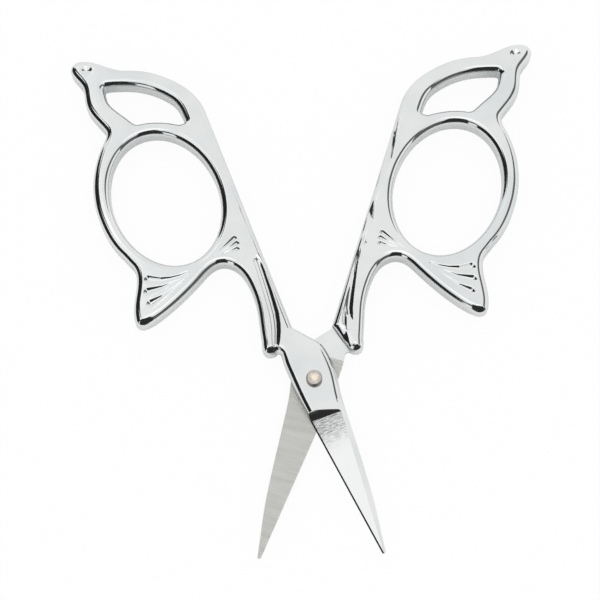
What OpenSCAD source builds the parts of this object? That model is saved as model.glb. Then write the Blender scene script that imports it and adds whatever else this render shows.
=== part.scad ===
// Small embroidery scissors with winged handles, seen from their front face.
// The two halves are alike: the rear one is the front one turned over about its long axis.
// The pivot's axis is Z, the blades point to -Y, the handles to +Y, and the backs rest on Z = 0.

/* [Handle] */
// Thickness of a handle from its back to its front
plate_t = 4.4; // [4:0.1:5.2]
// Radius that rounds the edges of a handle
edge_r = 1.3; // [0.8:0.05:1.5]
// Gap that the two inner edges keep when the scissors are closed
closed_gap = 0.3; // [0.2:0.1:0.8]

/* [Finger hole] */
// Width of a finger hole
hole_w = 21; // [19:0.1:24]
// Length of a finger hole
hole_l = 28.8; // [26:0.1:32]
// Distance from the pivot up to the lower end of the finger hole
hole_up = 30.9; // [30:0.1:36]
// Metal between the inner edge and the finger hole
inner_rim = 3.35; // [2.8:0.05:4.4]
// Metal outside the finger hole
outer_rim = 3.1; // [2.8:0.1:4]

/* [Wing] */
// Height of the wing over the finger hole
wing_h = 20.7; // [19:0.1:24]
// Distance of the wing's tip from the centre line
wing_out = 20.75; // [19.5:0.05:22.5]
// Radius of the wing's tip
wing_tip_r = 2.05; // [1.7:0.05:2.4]
// Metal along the upper edge of the wing's window
wing_rim = 3.6; // [3:0.1:4.2]
// Metal between the inner edge and the wing's window
wing_root = 4.6; // [4:0.1:5.4]
// Metal between the wing's window and its outer side
wing_side = 4.6; // [4:0.1:5.3]
// Radius of the window's corners
window_r = 0.55; // [0.4:0.05:1]
// Metal between the finger hole and the wing's window
bridge = 2.95; // [2.6:0.05:3.8]
// Diameter of the round hollow at the wing's tip
eye_d = 2.2; // [1.6:0.1:2.6]
// Depth of the round hollow at the wing's tip
eye_depth = 0.45; // [0.2:0.05:0.7]

/* [Tail] */
// Distance of the tail's tip from the centre line
tail_out = 26.1; // [24:0.1:28.5]
// Drop of the tail's tip below the finger hole
tail_drop = 7.6; // [6.5:0.1:9]
// Radius of the tail's tip
tail_tip_r = 1.75; // [1.4:0.05:2.1]
// Metal between the finger hole and the top of the arch
arch_bridge = 2.45; // [2:0.05:3]
// Radius of the arch between the tail and the leg
arch_r = 4.3; // [3.6:0.1:4.8]
// Width of a tail flute at its round end
flute_w = 2.3; // [1.6:0.1:2.4]
// Depth of the flutes
flute_depth = 0.4; // [0.2:0.05:0.6]

/* [Leg and toe] */
// Width of the leg, from the inner edge to the outer edge
leg_w = 4.65; // [4.2:0.05:5.2]
// Distance from the pivot up to the lower end of the toe
toe_up = 7.5; // [7:0.1:8.4]
// Distance of the toe's outer side from the centre line
toe_out = 7; // [6.4:0.1:7.8]
// Radius of the toe's end
toe_r = 1.6; // [1.4:0.05:1.8]
// Distance from the pivot up to the corner of the neck
neck_up = 11.3; // [10.8:0.1:12.4]
// Width of the two long grooves
groove_w = 0.8; // [0.5:0.1:1]
// Depth of the two long grooves
groove_depth = 0.45; // [0.2:0.05:0.7]

/* [Tang and blade] */
// Gap between the inner faces of the two halves
lap_gap = 0.1; // [0.06:0.01:0.2]
// Width of the tang on the cutting side of the pivot
tang_cut_w = 4.2; // [3.8:0.1:4.6]
// Width of the tang on the spine side of the pivot
tang_spine_w = 4.5; // [4:0.05:5]
// Radius that rounds the tang's front edges
tang_r = 1.5; // [0.8:0.1:1.7]
// Distance from the pivot down to the blade's root
root_down = 5.1; // [4.8:0.1:6]
// Distance from the pivot down to the blade's tip
blade_l = 35.1; // [30:0.1:40]
// Width of the blade at its root
root_w = 7.3; // [6.4:0.1:7.8]
// Radius of the blade's tip
tip_r = 0.35; // [0.25:0.05:0.5]
// Distance of the tip behind the centre line, so that the closed tips overlap
tip_back = 0.2; // [0:0.05:0.4]
// Angle of the ground face over the blade's width
grind_angle = 16.5; // [13:0.5:17]
// Thickness left at the cutting edge
edge_land = 0.2; // [0.1:0.05:0.4]
// Radius of the shoulder that the grinding wheel leaves
shoulder_r = 2; // [1.6:0.1:3]
// Turn of the shoulder across the blade
shoulder_turn = 11; // [0:1:15]
// Width of the bevel along the spine at the root; it runs out at the tip
spine_bevel = 0.9; // [0.5:0.1:1.2]
// Slope of the bevel along the spine
spine_angle = 30; // [20:1:40]

/* [Pivot rivet] */
// Diameter of the rivet's shank
rivet_d = 3; // [2.6:0.1:3.4]
// Height that the rivet's end stands over the front face
rivet_proud = 1.1; // [0.4:0.1:1.4]
// Chamfer at the rivet's front end
rivet_chamfer = 0.25; // [0.1:0.05:0.4]
// Diameter of the countersunk head at the back
head_d = 5; // [4.4:0.1:5.4]
// Height of the head's rim below its cone
head_rim = 0.25; // [0.15:0.05:0.4]
// Radial clearance between the rivet and the half that turns on it
run_gap = 0.04; // [0.02:0.01:0.08]

/* [Pose] */
// Angle between the two halves
open_angle = 37.5; // [0:0.5:90]

/* [Hidden] */
// Least angle that one step of a curve turns through
bend_step = 9;
// The same for the flutes and grooves
relief_step = 24;
// Steps over the round of a handle's edge
round_steps = 3;
// How far a cutting shape runs past the face it cuts
past = 1;
// Least width left beside a rounded edge
least_land = 0.05;
$fn = 32;

inner = closed_gap / 2;
lap = (plate_t + lap_gap) / 2;
hole_in = inner + inner_rim;
hole_cx = hole_in + hole_w / 2;
hole_cy = hole_up + hole_l / 2;
hole_top = hole_up + hole_l;
rim_out = hole_in + hole_w + outer_rim;
wing_top = hole_top + wing_h;
arch_top = hole_up - arch_bridge;
leg_out = inner + leg_w;
wing_r = max(wing_tip_r, edge_r + least_land);
tail_r = max(tail_tip_r, edge_r + least_land);
toe_end_r = max(toe_r, edge_r + least_land);
tail_y = hole_up - tail_drop;

// Left-hand side of a heading, which is the outside of a clockwise outline
function outside(heading) = [-sin(heading), cos(heading)];
// Node on a circle where a clockwise traveller has this heading
function on_circle(centre, r, heading) =
    let (p = centre + r * outside(heading)) [p[0], p[1], heading];
// Node moved to the inside of its outline
function inset(n, d) =
    let (p = [n[0], n[1]] - d * outside(n[2])) [p[0], p[1], n[2]];
// Smallest angle between two headings
function turn(a, b) = abs((((b - a + 180) % 360) + 360) % 360 - 180);
// Direction from one point to another
function bearing(a, b) = atan2(b[1] - a[1], b[0] - a[0]);

// Points of a smooth curve through nodes of the form [x, y, heading], without the last node.
// The reach of each node along its heading makes a quarter turn come out round.
function curve(nodes, step = bend_step) = [
    for (i = [0 : len(nodes) - 2])
        let (
            a = nodes[i],
            b = nodes[i + 1],
            chord = bearing(a, b),
            bend = turn(a[2], chord) + turn(chord, b[2]),
            steps = max(1, ceil(bend / step)),
            reach = norm([b[0] - a[0], b[1] - a[1]]) / (3 * pow(cos(turn(a[2], b[2]) / 4), 2)),
            p0 = [a[0], a[1]],
            p1 = p0 + reach * [cos(a[2]), sin(a[2])],
            p3 = [b[0], b[1]],
            p2 = p3 - reach * [cos(b[2]), sin(b[2])]
        )
        for (k = [0 : steps - 1])
            let (t = k / steps, s = 1 - t)
            s * s * s * p0 + 3 * s * s * t * p1 + 3 * s * t * t * p2 + t * t * t * p3
];

// Outward mitre at point i of a clockwise outline
function mitre(points, i) =
    let (
        n = len(points),
        before = outside(bearing(points[(i + n - 1) % n], points[i])),
        after = outside(bearing(points[i], points[(i + 1) % n])),
        mean = (before + after) / norm(before + after)
    )
    mean / (mean * before);

// Clockwise outline raised through levels of the form [z, outward offset].
// Below narrow_from the offsets shrink with Y, down to a tenth at narrow_to.
module loft(points, levels, narrow_from = 0, narrow_to = -1e6) {
    n = len(points);
    count = len(levels);
    mitres = [
        for (i = [0 : n - 1])
            let (share = (points[i][1] - narrow_to) / (narrow_from - narrow_to))
            max(0.1, min(1, share)) * mitre(points, i)
    ];
    polyhedron(
        points = [
            for (level = levels, i = [0 : n - 1])
                let (p = points[i] + level[1] * mitres[i]) [p[0], p[1], level[0]]
        ],
        faces = concat(
            [[for (i = [n - 1 : -1 : 0]) i]],
            [[for (i = [0 : n - 1]) (count - 1) * n + i]],
            [
                for (j = [0 : count - 2], i = [0 : n - 1])
                    let (next = (i + 1) % n) [j * n + i, j * n + next, (j + 1) * n + next, (j + 1) * n + i]
            ]
        )
    );
}

// Levels of a round of radius r that ends at height z; up is 1 for a front edge, -1 for a back edge
function round_levels(z, r, up) = [
    for (k = [0 : round_steps])
        let (a = (up > 0 ? k : round_steps - k) * 90 / round_steps)
        [z - up * r * (1 - sin(a)), -r * (1 - cos(a))]
];

// Levels of a plate with both edges rounded
plate_levels = concat(round_levels(0, edge_r, -1), round_levels(plate_t, edge_r, 1));

// Levels of a hole that is wider at the faces by the same round
hole_levels = concat(
    [[-past, edge_r]],
    [for (level = plate_levels) [level[0], -level[1]]],
    [[plate_t + past, edge_r]]
);

// Outline of a handle, clockwise from the corner of the neck
shoulder = [hole_in + 3.35, wing_top - 8.1, 39];
crest = [wing_out - 8.4, wing_top - 5.2, 20];
wing_tip = [wing_out, wing_top - wing_r];
tail_tip = [tail_out, tail_y];
toe = [toe_out - toe_end_r, toe_up + toe_end_r];
neck = [inner, neck_up];
// Heading of the step between the toe and the neck
step_heading = bearing(toe, neck) - asin(toe_end_r / norm(neck - toe)) - 360;
handle_nodes = [
    [inner, neck_up, 90],
    [inner, hole_top + 0.9, 90],
    shoulder,
    crest,
    on_circle(wing_tip, wing_r, 5),
    on_circle(wing_tip, wing_r, -47),
    [wing_out + 0.85, wing_top - 6.25, -87],
    [wing_out + 1.45, wing_top - 10.45, -91],
    [wing_out - 0.3, hole_top + 4.2, -107],
    [rim_out - 5.1, hole_top + 0.45, -51],
    [rim_out, hole_cy + 0.8, -90],
    [rim_out - 1.75, hole_cy - 8.2, -116],
    [rim_out - 2.75, hole_up + 3.7, -115],
    on_circle(tail_tip, tail_r, -86),
    on_circle(tail_tip, tail_r, -194),
    [hole_cx - 1.8, tail_y + 4.05, -210],
    [leg_out + arch_r, arch_top, -180],
    [leg_out + 0.6, arch_top - 3.1, -110],
    [leg_out, arch_top - 7.4, -91],
    [leg_out + 0.55, arch_top - 12.4, -77],
    [toe_out - 0.5, toe_up + 3.6, -78],
    on_circle(toe, toe_end_r, -90),
    on_circle(toe, toe_end_r, step_heading),
    [inner, neck_up, step_heading]
];

// Outline of the window in the wing, clockwise from its lower corner
window_low = [inner + wing_root + window_r, hole_top + 0.45];
window_high = [wing_out - 3.7, wing_top - 8.05];
window_nodes = [
    on_circle(window_low, window_r, 90),
    [window_low[0] + 0.55, hole_top + 5.95, 56],
    inset(crest, wing_rim),
    on_circle(window_high, window_r, 12),
    on_circle(window_high, window_r, -86),
    [wing_out + 1.45 - wing_side, wing_top - 11.65, -110],
    [hole_cx + 1.45, hole_top + bridge + 2.2, -120],
    [hole_cx - 0.5, hole_top + bridge, -174],
    [window_low[0] + 0.9, hole_top + bridge - 2.9, -146],
    on_circle(window_low, window_r, -168),
    on_circle(window_low, window_r, -270)
];

// Outline of the tang and the blade, clockwise from the blade's tip
blade_tip = [-tip_back, tip_r - blade_l];
edge_root = [root_w / 2, -root_down];
// Turn of a blade's edge from the long axis
edge_turn = -90 - bearing(edge_root, blade_tip) - asin(tip_r / norm(blade_tip - edge_root));
// Heading of the sloping side between the tang and the neck
neck_low = [-tang_spine_w + 1.1, neck_up - 4.2];
neck_heading = bearing(neck_low, neck);
blade_nodes = [
    on_circle(blade_tip, tip_r, 98),
    [-0.3 * root_w, -0.37 * root_down - 0.63 * blade_l, 96],
    [-root_w / 2, -root_down, 95],
    [-tang_spine_w, 1, 90],
    [-tang_spine_w + 0.15, neck_up - 7, 84],
    [neck_low[0], neck_low[1], neck_heading],
    [neck[0] + 0.5, neck[1] + 0.5 * tan(neck_heading), neck_heading],
    [inner + 2, neck_up + 2, 0],
    [toe[0] - 1.3, neck_up, -85],
    [toe[0] - 1, toe[1], -88],
    [tang_cut_w, 4.5, -92],
    [root_w / 2, -root_down, -90 - edge_turn],
    on_circle(blade_tip, tip_r, -90 - edge_turn),
    on_circle(blade_tip, tip_r, 98 - 360)
];

module handle_plate() {
    loft(curve(handle_nodes), plate_levels);
}

module finger_hole() {
    loft(
        [for (a = [0 : -bend_step : bend_step - 360]) [hole_cx + hole_w / 2 * cos(a), hole_cy + hole_l / 2 * sin(a)]],
        hole_levels
    );
}

module wing_window() {
    loft(curve(window_nodes), hole_levels);
}

// Front half of the handle's thickness, carried past the pivot and out to the blade's tip
module tang_and_blade() {
    levels = concat([[lap, 0]], round_levels(plate_t, tang_r, 1));
    loft(curve(blade_nodes), levels, -root_down, -blade_l);
}

// What the wheel takes off the front of the blade, down to the cutting edge
module ground_face() {
    reach = 2 * blade_l;
    translate([root_w / 2, -root_down, lap + edge_land])
        rotate([0, 0, -edge_turn])
            rotate([0, grind_angle, 0])
                rotate([0, 0, shoulder_turn]) {
                    translate([-reach / 2, -reach, 0])
                        cube([reach, reach - shoulder_r, plate_t]);
                    translate([-reach / 2, -shoulder_r, shoulder_r])
                        rotate([0, 90, 0])
                            cylinder(r = shoulder_r, h = reach);
                    translate([-reach / 2, -shoulder_r - past, shoulder_r])
                        cube([reach, 2 * shoulder_r + past - shoulder_r, plate_t]);
                }
}

// What is taken off along the spine, beside the ground face
module spine_face() {
    reach = 2 * blade_l;
    start = [spine_bevel - root_w / 2, -root_down];
    end = [blade_tip[0] - tip_r / 2, blade_tip[1]];
    root_z = lap + edge_land + (root_w - spine_bevel) * sin(grind_angle);
    tip_z = lap + edge_land + 2 * tip_r * sin(grind_angle);
    rise = atan((root_z - tip_z) / (start[1] - end[1]));
    translate([start[0], start[1], root_z])
        rotate([0, 0, bearing(start, end) + 90])
            rotate([rise, -spine_angle, 0])
                translate([-reach / 2, -reach, 0])
                    cube([reach, reach, plate_t]);
}

// Pocket in the shape of a drop, from a narrow start at the origin to a round end towards +Y
module flute(length, w) {
    start_r = w / 16;
    end_r = w / 2;
    run = length - end_r;
    lean = asin((end_r - start_r) / run);
    outline = curve([
        on_circle([0, 0], start_r, 90 + lean),
        on_circle([0, run], end_r, 90 + lean),
        on_circle([0, run], end_r, 0),
        on_circle([0, run], end_r, -90 - lean),
        on_circle([0, 0], start_r, -90 - lean),
        on_circle([0, 0], start_r, -180),
        on_circle([0, 0], start_r, lean - 270)
    ], relief_step);
    levels = [
        [plate_t - flute_depth, -0.7 * end_r],
        [plate_t - 0.7 * flute_depth, -0.35 * end_r],
        [plate_t, 0],
        [plate_t + past, 0]
    ];
    loft(outline, levels, run, 0);
}

// Fan of flutes: their centre, first heading, heading step, first length, length step, width.
// They start a width away from the centre, where they are clear of each other.
module flutes(centre, first, heading_step, length, length_step, w) {
    for (i = [0 : 2])
        translate([centre[0], centre[1], 0])
            rotate([0, 0, first + i * heading_step - 90])
                translate([0, w, 0])
                    flute(length + i * length_step, w);
}

// Groove with a triangular section along a curve on the front face
module groove(nodes) {
    spine = concat(curve(nodes, relief_step / 3), [[nodes[len(nodes) - 1][0], nodes[len(nodes) - 1][1]]]);
    n = len(spine);
    rise = past / 4;
    half_w = groove_w / 2 * (groove_depth + rise) / groove_depth;
    function side(i) = outside(bearing(spine[max(0, i - 1)], spine[min(n - 1, i + 1)]));
    polyhedron(
        points = [
            for (i = [0 : n - 1], j = [-1 : 1])
                let (p = spine[i] + j * half_w * side(i)) [p[0], p[1], plate_t + (j == 0 ? -groove_depth : rise)]
        ],
        faces = concat(
            [[0, 1, 2], [3 * n - 1, 3 * n - 2, 3 * n - 3]],
            [
                for (i = [0 : n - 2], j = [0 : 2])
                    let (next = (j + 1) % 3) [3 * i + j, 3 * i + 3 + j, 3 * i + 3 + next, 3 * i + next]
            ]
        )
    );
}

// Flutes and grooves of one face
module face_relief() {
    flutes([hole_cx - 0.7, hole_up - 2], 12, -14.7, 8, 0.65, flute_w);
    flutes([leg_out + 5, arch_top + 2.15], 158, 14, 5.3, 0, flute_w / 2);
    groove([
        [inner + 1, arch_top - 2.1, -90],
        [inner + 1.1, arch_top - 9.1, -93],
        [inner + 2.6, neck_up + 0.2, -106],
        [inner + 3.8, neck_up - 2, -118]
    ]);
    groove([
        [inner + 1.9, arch_top - 2.1, -90],
        [inner + 2.2, arch_top - 8.1, -94],
        [leg_out - 1, arch_top - 14.6, -110]
    ]);
}

// Round hollow at the wing's tip
module eye() {
    eye_r = (eye_d * eye_d / 4 + eye_depth * eye_depth) / (2 * eye_depth);
    translate([wing_tip[0] - 1.2, wing_tip[1] - 0.8, plate_t + eye_r - eye_depth])
        sphere(r = eye_r);
}

// Both faces: what is drawn for the front is turned over for the back
module both_faces() {
    children();
    translate([0, 0, plate_t])
        mirror([0, 0, 1])
            children();
}

// One half, closed, with its handle on the +X side and its tang at the front.
// All but the round hollows is brought to its thickness as one piece.
module half() {
    difference() {
        resize([0, 0, plate_t])
            difference() {
                union() {
                    handle_plate();
                    difference() {
                        tang_and_blade();
                        ground_face();
                        spine_face();
                    }
                }
                finger_hole();
                wing_window();
                both_faces()
                    face_relief();
            }
        both_faces()
            eye();
    }
}

// Half with the tang in front, which the rivet is fixed in
module front_half() {
    color("gainsboro")
        difference() {
            rotate([0, 0, open_angle / 2])
                mirror([1, 0, 0])
                    half();
            translate([0, 0, -past])
                cylinder(d = rivet_d, h = plate_t + 2 * past);
        }
}

// Half with the tang at the back, which turns on the rivet and holds its head
module rear_half() {
    color("silver")
        difference() {
            rotate([0, 0, -open_angle / 2])
                translate([0, 0, plate_t])
                    mirror([0, 0, 1])
                        half();
            translate([0, 0, -past])
                cylinder(d = rivet_d + 2 * run_gap, h = plate_t + 2 * past);
            rivet_head(run_gap, past);
        }
}

// Countersunk head, grown all round by a gap and carried down below the back by some depth
module rivet_head(gap, below) {
    wide = head_d / 2 + gap;
    narrow = rivet_d / 2 + gap;
    rotate_extrude()
        polygon([
            [0, -below],
            [wide, -below],
            [wide, head_rim],
            [narrow, head_rim + wide - narrow],
            [0, head_rim + wide - narrow]
        ]);
}

// Rivet that joins the halves: its chamfered end stands proud at the front, its head is flush
module pivot_rivet() {
    top = plate_t + rivet_proud;
    color("wheat") {
        cylinder(d = rivet_d, h = top - rivet_chamfer);
        translate([0, 0, top - rivet_chamfer])
            cylinder(d1 = rivet_d, d2 = rivet_d - 2 * rivet_chamfer, h = rivet_chamfer);
        rivet_head(0, 0);
    }
}

front_half();
rear_half();
pivot_rivet();
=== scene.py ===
"""Looks of small embroidery scissors with winged, plated handles and short ground blades.

Lengths in the classes are millimetres, in the frame of a half that is closed: X runs outward from
the centre line, Y runs up to the handles and Z runs out of the front. A finished mesh is in metres.
"""

import logging
import math
from dataclasses import dataclass, field
from enum import Enum
from typing import Callable, Sequence

import bmesh
import bpy
import numpy as np
from bpy.types import Material, NodeSocket, NodeTree, Object
from mathutils import Matrix, Vector
from mathutils.geometry import delaunay_2d_cdt


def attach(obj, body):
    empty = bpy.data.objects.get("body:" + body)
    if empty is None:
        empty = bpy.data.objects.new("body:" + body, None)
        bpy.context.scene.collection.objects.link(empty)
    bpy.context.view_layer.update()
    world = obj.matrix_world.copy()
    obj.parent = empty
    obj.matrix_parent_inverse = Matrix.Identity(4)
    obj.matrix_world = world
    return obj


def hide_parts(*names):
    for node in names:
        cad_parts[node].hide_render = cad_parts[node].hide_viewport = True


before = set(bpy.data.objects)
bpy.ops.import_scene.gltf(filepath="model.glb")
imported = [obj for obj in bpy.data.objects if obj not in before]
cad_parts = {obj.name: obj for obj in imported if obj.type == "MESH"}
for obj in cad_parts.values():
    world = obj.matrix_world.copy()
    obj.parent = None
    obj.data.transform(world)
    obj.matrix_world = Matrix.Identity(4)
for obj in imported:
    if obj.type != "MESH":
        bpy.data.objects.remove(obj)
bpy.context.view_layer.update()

MM = 0.001
OPEN_ANGLE = 37.5
# Points closer than this are one, in millimetres.
MERGE_MM = 0.0001
# Twice the area, in square millimetres, under which a triangle counts as a sliver.
SLIVER = 1e-3
# How far a normal may lean and still count as square to a flat face.
LEAN = 1e-3
log = logging.getLogger("scissors")


class Side(Enum):
    """The half that lies in front at the crossing, or the one behind it."""

    FRONT = "front_half"
    REAR = "rear_half"


class Surface(Enum):
    """Material slots of a half's mesh."""

    PLATED = 0
    GROUND = 1
    INNER = 2


# ---------------------------------------------------------------- small helpers


def linear(hex_colour: str) -> tuple[float, float, float, float]:
    """Turn an sRGB hex colour into the linear values a shader takes.

    Args:
        hex_colour: Colour such as "#c8ccd0".

    Returns:
        Red, green, blue and an alpha of 1.
    """
    values = [int(hex_colour[i : i + 2], 16) / 255 for i in (1, 3, 5)]
    red, green, blue = (v / 12.92 if v <= 0.04045 else ((v + 0.055) / 1.055) ** 2.4 for v in values)
    return red, green, blue, 1.0


def set_inputs(tree: NodeTree, node: bpy.types.Node, **inputs: object) -> None:
    """Give a node its socket values and links.

    Args:
        tree: Node tree that holds the node.
        node: Node to set.
        inputs: Value or output socket for each input, named as on the node with _ for a space,
            or in_0, in_1 and so on for an input known by its place.
    """
    for name, value in inputs.items():
        socket = node.inputs[int(name[3:]) if name.startswith("in_") else name.replace("_", " ")]
        if isinstance(value, NodeSocket):
            tree.links.new(value, socket)
        else:
            socket.default_value = value


def add_node(tree: NodeTree, kind: str, settings: dict | None = None, **inputs: object) -> bpy.types.Node:
    """Add a node with its settings, socket values and links.

    Args:
        tree: Node tree that gets the node.
        kind: Node type without its "ShaderNode" prefix.
        settings: Properties of the node itself.
        inputs: Inputs as set_inputs takes them.

    Returns:
        The new node.
    """
    node = tree.nodes.new("ShaderNode" + kind)
    for name, value in (settings or {}).items():
        setattr(node, name, value)
    set_inputs(tree, node, **inputs)
    return node


def maths(
    tree: NodeTree, operation: str, *values: NodeSocket | float
) -> NodeSocket:
    """Add a Math node and give its result's socket."""
    inputs = {f"in_{i}": value for i, value in enumerate(values)}
    return add_node(tree, "Math", {"operation": operation}, **inputs).outputs[0]


def bare_material(name: str) -> tuple[Material, NodeTree]:
    """Start a material whose node tree is empty."""
    material = bpy.data.materials.new(name)
    material.use_nodes = True
    material.node_tree.nodes.clear()
    return material, material.node_tree


def remap(
    tree: NodeTree, value: NodeSocket, old: tuple[float, float], new: tuple[float, float], **settings: str
) -> NodeSocket:
    """Carry a value from one range into another, held at both ends."""
    ends = dict(zip(("in_1", "in_2", "in_3", "in_4"), (*old, *new)))
    return add_node(tree, "MapRange", settings, in_0=value, **ends).outputs[0]


def relief_normal(
    tree: NodeTree, height: NodeSocket, depth_mm: float, strength: float = 1.0
) -> NodeSocket:
    """Normal of a surface whose height varies by up to a depth."""
    return add_node(tree, "Bump", Height=height, Distance=depth_mm * MM, Strength=strength).outputs["Normal"]


def clouds_of(tree: NodeTree, place: NodeSocket, size_mm: float, detail: float) -> NodeSocket:
    """Soft noise whose patches have about a given size."""
    return add_node(tree, "TexNoise", Vector=place, Scale=1 / (size_mm * MM), Detail=detail).outputs["Fac"]


def streaks(
    tree: NodeTree, place: NodeSocket, degrees: float, scale: tuple[float, float, float], **noise: float
) -> NodeSocket:
    """Noise drawn out into lines across the blade.

    Args:
        tree: Node tree that gets the nodes.
        place: Coordinates, in millimetres.
        degrees: Turn of the lines.
        scale: Stretch along and across the lines.
        noise: Inputs of the noise.

    Returns:
        The noise's value socket.
    """
    drawn = add_node(tree, "Mapping", Vector=place, Rotation=(0, 0, math.radians(degrees)), Scale=scale)
    return add_node(tree, "TexNoise", Vector=drawn.outputs[0], Scale=1.0, **noise).outputs["Fac"]


def colour_steps(
    tree: NodeTree, factor: NodeSocket, stops: Sequence[tuple[float, str]]
) -> NodeSocket:
    """Add a colour ramp.

    Args:
        tree: Node tree that gets the ramp.
        factor: Socket that drives it.
        stops: Place and hex colour of each stop, in order.

    Returns:
        The ramp's colour socket.
    """
    node = add_node(tree, "ValToRGB", in_0=factor)
    ramp = node.color_ramp
    while len(ramp.elements) < len(stops):
        ramp.elements.new(0.5)
    for element, (place, colour) in zip(ramp.elements, stops):
        element.position = place
        element.color = linear(colour)
    return node.outputs["Color"]


def deselect_all() -> None:
    """Leave edit mode and deselect every object."""
    if bpy.context.object and bpy.context.object.mode != "OBJECT":
        bpy.ops.object.mode_set(mode="OBJECT")
    bpy.ops.object.select_all(action="DESELECT")


def make_active(obj: Object) -> None:
    """Select one object alone and make it active."""
    deselect_all()
    obj.select_set(True)
    bpy.context.view_layer.objects.active = obj


def name_new(name: str) -> Object:
    """Name the object that an operator has just added, and its mesh."""
    obj = bpy.context.object
    obj.name = name
    obj.data.name = name
    return obj


MeshPart = bmesh.types.BMVert | bmesh.types.BMEdge | bmesh.types.BMFace


def select_parts(obj: Object, mode: str, chosen: Callable[[MeshPart], bool]) -> None:
    """Enter edit mode and select the parts of a mesh that a test picks.

    Args:
        obj: Mesh object.
        mode: VERT, EDGE or FACE.
        chosen: Test that a part passes to be selected.
    """
    make_active(obj)
    bpy.ops.object.mode_set(mode="EDIT")
    bpy.ops.mesh.select_mode(type=mode)
    bpy.ops.mesh.select_all(action="DESELECT")
    mesh = bmesh.from_edit_mesh(obj.data)
    for part in {"VERT": mesh.verts, "EDGE": mesh.edges, "FACE": mesh.faces}[mode]:
        part.select = chosen(part)
    mesh.select_flush_mode()
    bmesh.update_edit_mesh(obj.data)


def apply_modifier(obj: Object, kind: str, **settings: object) -> None:
    """Add a modifier to a mesh object, set it and apply it."""
    make_active(obj)
    bpy.ops.object.modifier_add(type=kind)
    modifier = obj.modifiers[-1]
    for name, value in settings.items():
        setattr(modifier, name, value)
    bpy.ops.object.modifier_apply(modifier=modifier.name)


def close_seams(distance: float) -> None:
    """Merge points that lie together and turn the normals outward, in edit mode."""
    bpy.ops.mesh.select_all(action="SELECT")
    bpy.ops.mesh.remove_doubles(threshold=distance)
    bpy.ops.mesh.normals_make_consistent(inside=False)
    bpy.ops.object.mode_set(mode="OBJECT")


def cut_away(obj: Object, cutter: Object) -> None:
    """Take a cutter's shape out of a mesh object, and remove the cutter."""
    apply_modifier(obj, "BOOLEAN", operation="DIFFERENCE", solver="EXACT", object=cutter)
    bpy.data.objects.remove(cutter)


# ---------------------------------------------------------------- outlines


@dataclass(frozen=True)
class Node:
    """Point that an outline runs through, with its heading in degrees."""

    x: float
    y: float
    heading: float

    @property
    def place(self) -> np.ndarray:
        """Position of the node."""
        return np.array([self.x, self.y])


def outside(heading: float) -> np.ndarray:
    """Left-hand side of a heading, which is the outside of a clockwise outline."""
    angle = math.radians(heading)
    return np.array([-math.sin(angle), math.cos(angle)])


def on_circle(centre: Sequence[float], radius: float, heading: float) -> Node:
    """Node on a circle where a clockwise traveller has a heading."""
    x, y = np.array(centre[:2]) + radius * outside(heading)
    return Node(float(x), float(y), heading)


def inset(node: Node, distance: float) -> Node:
    """Node moved to the inside of its outline."""
    x, y = node.place - distance * outside(node.heading)
    return Node(float(x), float(y), node.heading)


def bearing(a: Sequence[float], b: Sequence[float]) -> float:
    """Direction from one point to another, in degrees."""
    return math.degrees(math.atan2(b[1] - a[1], b[0] - a[0]))


def turn(a: float, b: float) -> float:
    """Signed turn from one heading to another, positive to the left."""
    return (b - a + 180) % 360 - 180


def smooth_run(nodes: Sequence[Node], step: float = 4.0, longest: float = 0.7) -> np.ndarray:
    """Sample the smooth curve that runs through some nodes.

    Args:
        nodes: Nodes in order. Two at one place make a corner.
        step: Greatest turn between samples, in degrees.
        longest: Greatest distance between samples.

    Returns:
        Points from the first node up to, but without, the last.
    """
    points = []
    for a, b in zip(nodes, nodes[1:]):
        length = float(np.linalg.norm(b.place - a.place))
        if length < 1e-9:
            continue
        chord = bearing(a.place, b.place)
        bend = abs(turn(a.heading, chord)) + abs(turn(chord, b.heading))
        count = max(1, math.ceil(bend / step), math.ceil(length / longest))
        reach = length / (3 * math.cos(math.radians(turn(a.heading, b.heading) / 4)) ** 2)
        first = a.place + reach * np.array([math.cos(math.radians(a.heading)), math.sin(math.radians(a.heading))])
        last = b.place - reach * np.array([math.cos(math.radians(b.heading)), math.sin(math.radians(b.heading))])
        for k in range(count):
            t = k / count
            s = 1 - t
            points.append(s**3 * a.place + 3 * s * s * t * first + 3 * s * t * t * last + t**3 * b.place)
    return np.array(points)


def inside(points: np.ndarray, loop: np.ndarray) -> np.ndarray:
    """Tell which points lie inside a closed loop."""
    x, y = points[:, 0], points[:, 1]
    result = np.zeros(len(points), bool)
    for (x1, y1), (x2, y2) in zip(loop, np.roll(loop, -1, 0)):
        if y1 != y2:
            result ^= ((y1 > y) != (y2 > y)) & (x < (x2 - x1) * (y - y1) / (y2 - y1) + x1)
    return result


def distance_to(points: np.ndarray, loop: np.ndarray) -> np.ndarray:
    """Distance from each point to the nearest segment of a closed loop."""
    best = np.full(len(points), np.inf)
    for a, b in zip(loop, np.roll(loop, -1, 0)):
        along = b - a
        share = np.clip(((points - a) @ along) / max(float(along @ along), 1e-12), 0, 1)
        best = np.minimum(best, np.linalg.norm(points - a - share[:, None] * along, axis=1))
    return best


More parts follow.
